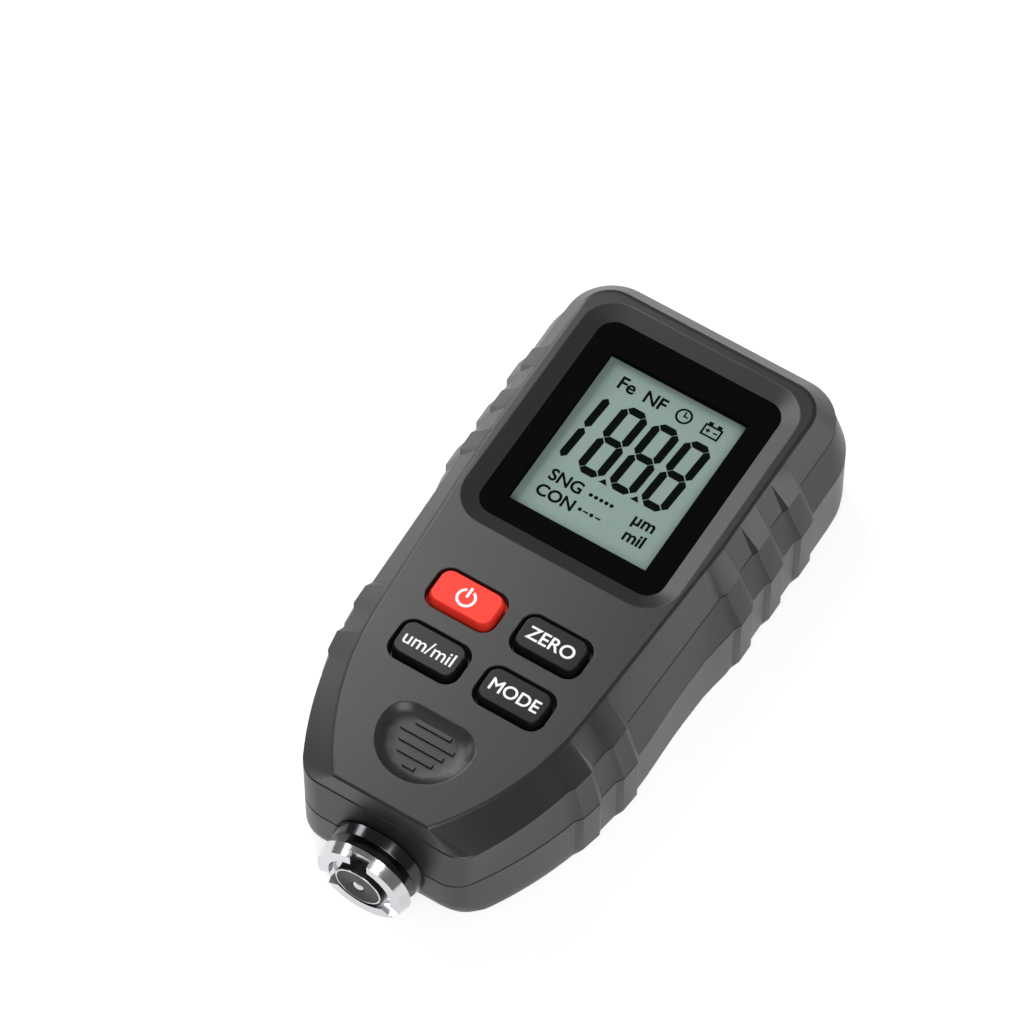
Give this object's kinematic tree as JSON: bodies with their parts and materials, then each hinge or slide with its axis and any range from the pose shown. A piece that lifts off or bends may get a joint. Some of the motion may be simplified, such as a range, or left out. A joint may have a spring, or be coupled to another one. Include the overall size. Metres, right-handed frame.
{
  "type": "coating thickness gauge",
  "caption": "Hand-held coating thickness gauge with a fluted two-part housing, a display window, soft keys, a thumb rest and a sprung contact probe at one end",
  "frame": {"origin": "centre of the bounding box on the plane of the back", "axes": "+Z out of the face, +Y towards the display end, +X to the right of someone reading the display; the probe points along -Y"},
  "size_m": [0.0546, 0.1092, 0.0274],
  "materials": {
    "housing": "dark grey moulded plastic with a fine spark texture",
    "lens": "clear acrylic, printed black round the window",
    "lcd": "grey-green reflective liquid crystal glass",
    "white_plastic": "moulded white plastic",
    "pink_rubber": "layered silicone rubber",
    "board": "green lacquered fibreglass",
    "black_plastic": "black moulded plastic",
    "red_rubber": "red silicone rubber, satin",
    "black_rubber": "black silicone rubber, satin",
    "chrome": "turned and plated bright",
    "steel": "plain nickel-plated steel",
    "ferrite": "ground ferrite",
    "copper": "enamelled copper wire",
    "battery": "plain grey sleeve over a steel can"
  },
  "bodies": {
    "housing": {"front_shell": "housing", "rear_shell": "housing", "display_lens": "lens", "lcd_panel": "lcd", "lcd_holder": "white_plastic", "lcd_connectors": "pink_rubber", "circuit_board": "board", "processor": "black_plastic", "switch_bodies": "black_plastic", "probe_collar": "chrome", "probe_clip": "steel", "probe_holder": "black_plastic", "left_battery": "battery", "right_battery": "battery", "bridge_contact": "steel", "positive_contact": "steel", "negative_contact": "steel", "case_screws": "steel", "board_screws": "steel"},
    "door": {"battery_door": "housing"},
    "power": {"power_key": "red_rubber", "power_plunger": "black_plastic"},
    "unit": {"unit_key": "black_rubber", "unit_plunger": "black_plastic"},
    "zero": {"zero_key": "black_rubber", "zero_plunger": "black_plastic"},
    "mode": {"mode_key": "black_rubber", "mode_plunger": "black_plastic"},
    "probe": {"probe_neck": "black_plastic", "probe_ring": "chrome", "probe_tip": "black_plastic", "probe_pin": "steel", "probe_core": "ferrite", "probe_coil": "copper", "probe_spring": "steel"}
  },
  "joints": [
    {"name": "power_press", "type": "slide", "parent": "housing", "child": "power", "axis": [0, 0, -1], "range_m": [0, 0.0005], "stiffness_N_per_m": 1500},
    {"name": "unit_press", "type": "slide", "parent": "housing", "child": "unit", "axis": [0, 0, -1], "range_m": [0, 0.0005], "stiffness_N_per_m": 1500},
    {"name": "zero_press", "type": "slide", "parent": "housing", "child": "zero", "axis": [0, 0, -1], "range_m": [0, 0.0005], "stiffness_N_per_m": 1500},
    {"name": "mode_press", "type": "slide", "parent": "housing", "child": "mode", "axis": [0, 0, -1], "range_m": [0, 0.0005], "stiffness_N_per_m": 1500},
    {"name": "probe_slide", "type": "slide", "parent": "housing", "child": "probe", "axis": [0, 1, 0], "range_m": [0, 0.002], "stiffness_N_per_m": 500, "deforming": ["probe_spring"]},
    {"name": "door_slide", "type": "slide", "parent": "housing", "child": "door", "axis": [0, 1, 0], "range_m": [0, 0.04]}
  ]
}
